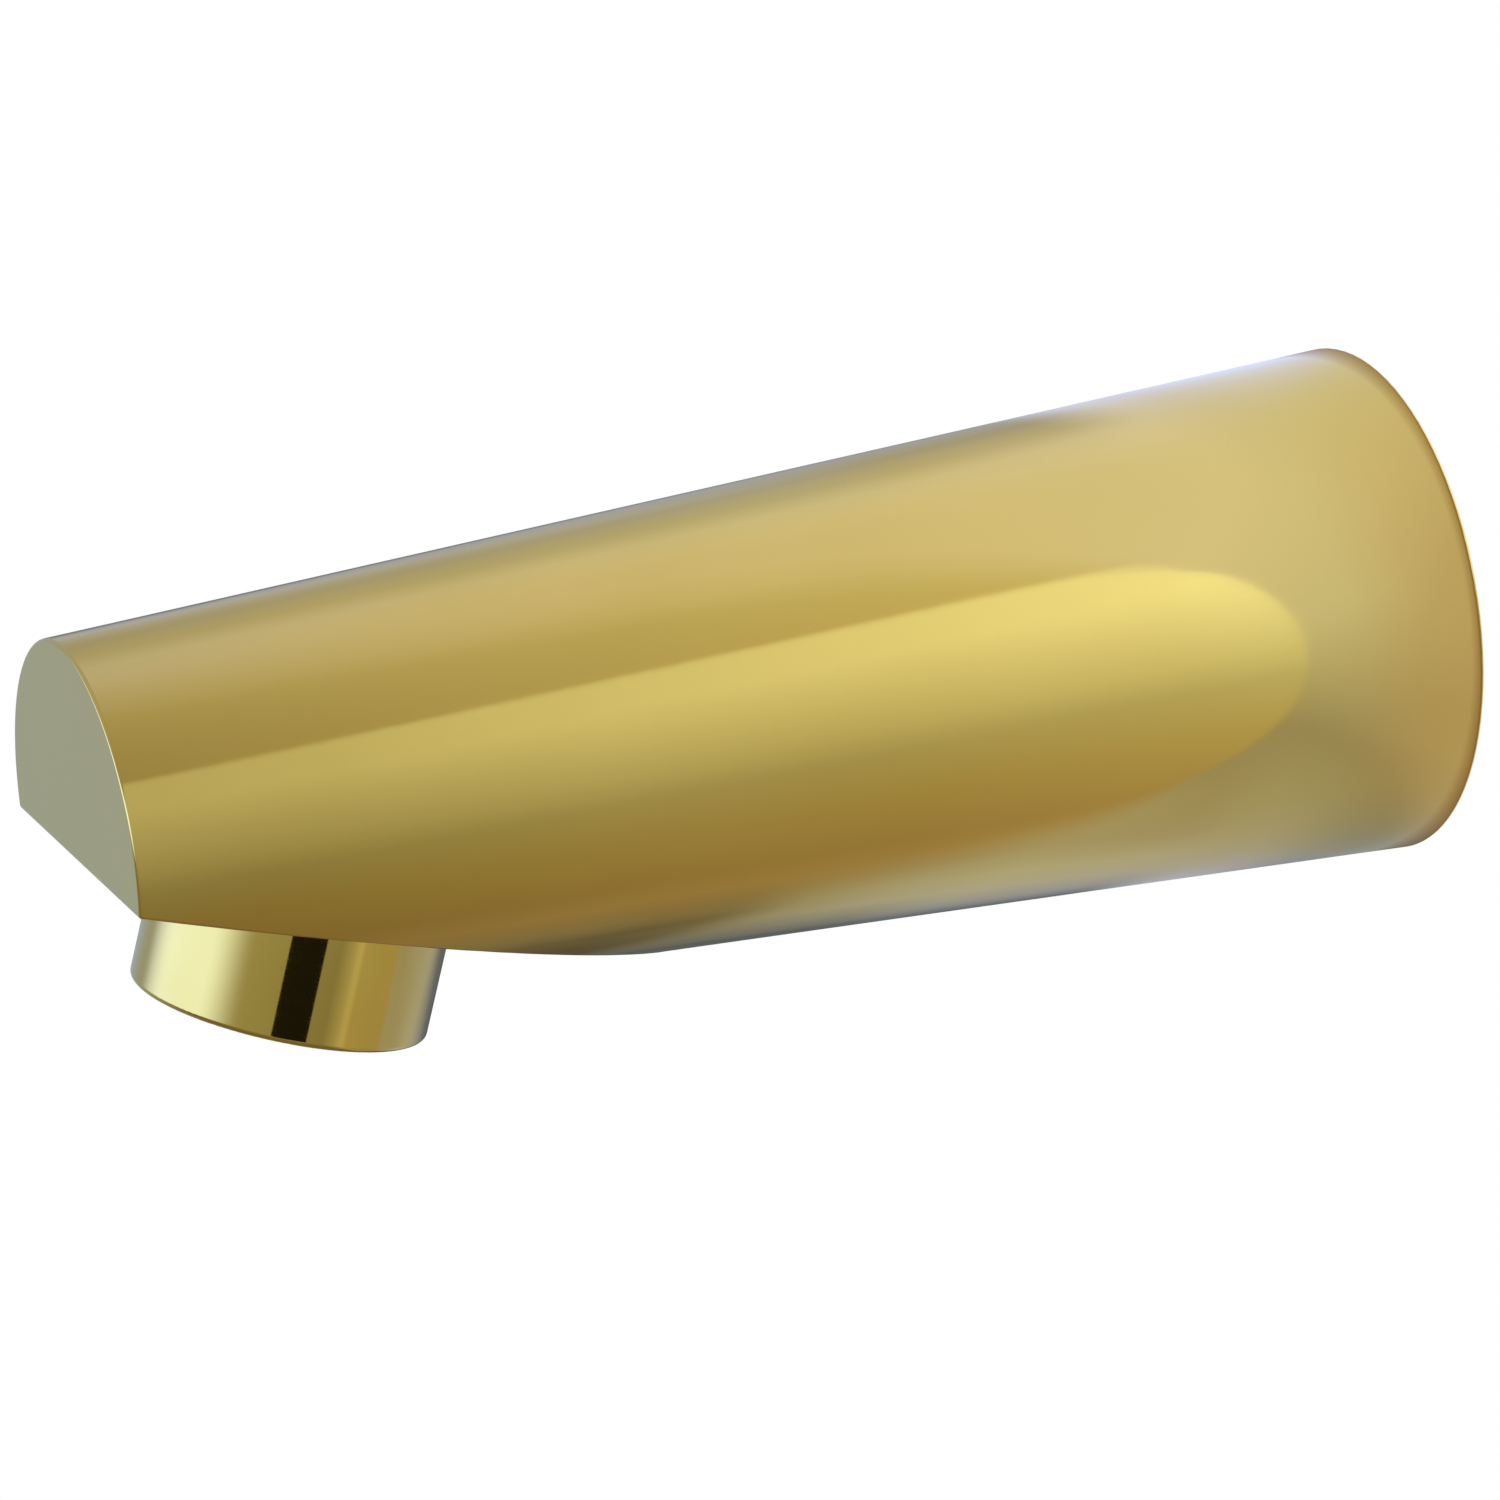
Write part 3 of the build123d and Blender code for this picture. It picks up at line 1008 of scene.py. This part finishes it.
def hangFlag():
    # a piece of the tent whose light is linked to all but the sleeve, which shows it dark
    flag = cameraFlag
    way = direction(*flag["direction"])
    across = Vector((0, 0, 1)).cross(way).normalized() * flag["width"] / 2
    along = Vector((0, 0, 1)) * flag["height"] / 2
    card = stageSheet("camera_flag", way * flag["distance"], across, along, flagMaterial())
    unlit = bpy.data.collections.new("unlit_by_flag")
    unlit.objects.link(sleeveSkin)
    unlit.collection_objects[0].light_linking.link_state = "EXCLUDE"
    card.light_linking.receiver_collection = unlit
    return card


paleFloor = {
    "level": -2.6,
    "reach": 60.0,
    "matt": (0.8, 0.8, 0.8),  # where it is lit rather than seen
}
softWorld = {
    "tone": (0.9, 0.95, 1.0),
    "strength": 0.6,
}


def seenByEye(tree):
    # 1 for camera, glossy and transmission rays, so that metal shows the same white as the picture
    path = addNode(tree, "ShaderNodeLightPath")
    both = addNode(tree, "ShaderNodeMath", operation="MAXIMUM")
    wire(tree, path, "Is Camera Ray", both, 0)
    wire(tree, path, "Is Glossy Ray", both, 1)
    every = addNode(tree, "ShaderNodeMath", operation="MAXIMUM")
    wire(tree, both, "Value", every, 0)
    wire(tree, path, "Is Transmission Ray", every, 1)
    return every


def layFloor():
    floor = paleFloor
    material, tree, output = emptyMaterial("pale_floor")
    white = addNode(tree, "ShaderNodeEmission", {"Color": (1, 1, 1, 1), "Strength": 1.0})
    matt = addNode(tree, "ShaderNodeBsdfDiffuse", {"Color": rgba(floor["matt"])})
    mix = addNode(tree, "ShaderNodeMixShader")
    wire(tree, seenByEye(tree), "Value", mix, 0)
    wire(tree, matt, "BSDF", mix, 1)
    wire(tree, white, "Emission", mix, 2)
    wire(tree, mix, "Shader", output, "Surface")
    across, along = Vector((floor["reach"], 0, 0)), Vector((0, floor["reach"], 0))
    stageSheet("floor", Vector((0, 0, floor["level"])), across, along, material)


def paintWorld():
    world = bpy.data.worlds.new("studio")
    bpy.context.scene.world = world
    world.use_nodes = True
    tree = world.node_tree
    tree.nodes.clear()
    white = addNode(tree, "ShaderNodeBackground", {"Color": (1, 1, 1, 1), "Strength": 1.0})
    light = {"Color": rgba(softWorld["tone"]), "Strength": softWorld["strength"]}
    soft = addNode(tree, "ShaderNodeBackground", light)
    mix = addNode(tree, "ShaderNodeMixShader")
    wire(tree, seenByEye(tree), "Value", mix, 0)
    wire(tree, soft, "Background", mix, 1)
    wire(tree, white, "Background", mix, 2)
    wire(tree, mix, "Shader", addNode(tree, "ShaderNodeOutputWorld"), "Surface")


paintWorld()
layFloor()
for card in (hangTent(), standBoard(), hangFlag()):
    card.visible_camera = False  # they only light the spout and show in its metal
print("studio set")


# the camera, where the photograph was taken from

photoView = {
    "azimuth": 67.99,
    "elevation": 18.55,
    "roll": -3.22,
    "distance": 0.700,
    "slide": (0.00072, -0.00382),  # aim's shift from the middle of the spout, right and up
    "lens": 168.0,
    "sensor": 36.0,
    "clip": (0.01, 200.0),
}


def placeCamera():
    view = photoView
    back = direction(view["azimuth"], view["elevation"])
    right = Vector((0, 0, 1)).cross(back).normalized()
    up = back.cross(right)
    turn = math.radians(view["roll"])
    rolledRight = right * math.cos(turn) + up * math.sin(turn)
    rolledUp = up * math.cos(turn) - right * math.sin(turn)
    low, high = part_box("spout_body")
    middle = Vector((0, (low.y + high.y) / 2, 0))
    aim = middle + rolledRight * view["slide"][0] + rolledUp * view["slide"][1]
    place = aim + back * view["distance"]
    data = bpy.data.cameras.new("photo_camera")
    data.sensor_width = view["sensor"]
    data.lens = view["lens"]
    data.clip_start, data.clip_end = view["clip"]
    camera = bpy.data.objects.new("photo_camera", data)
    bpy.context.scene.collection.objects.link(camera)
    turned = Matrix((rolledRight, rolledUp, back)).transposed().to_4x4()
    camera.matrix_world = Matrix.Translation(place) @ turned
    bpy.context.scene.camera = camera


placeCamera()
bpy.context.scene.view_settings.view_transform = "Standard"
print("camera placed")
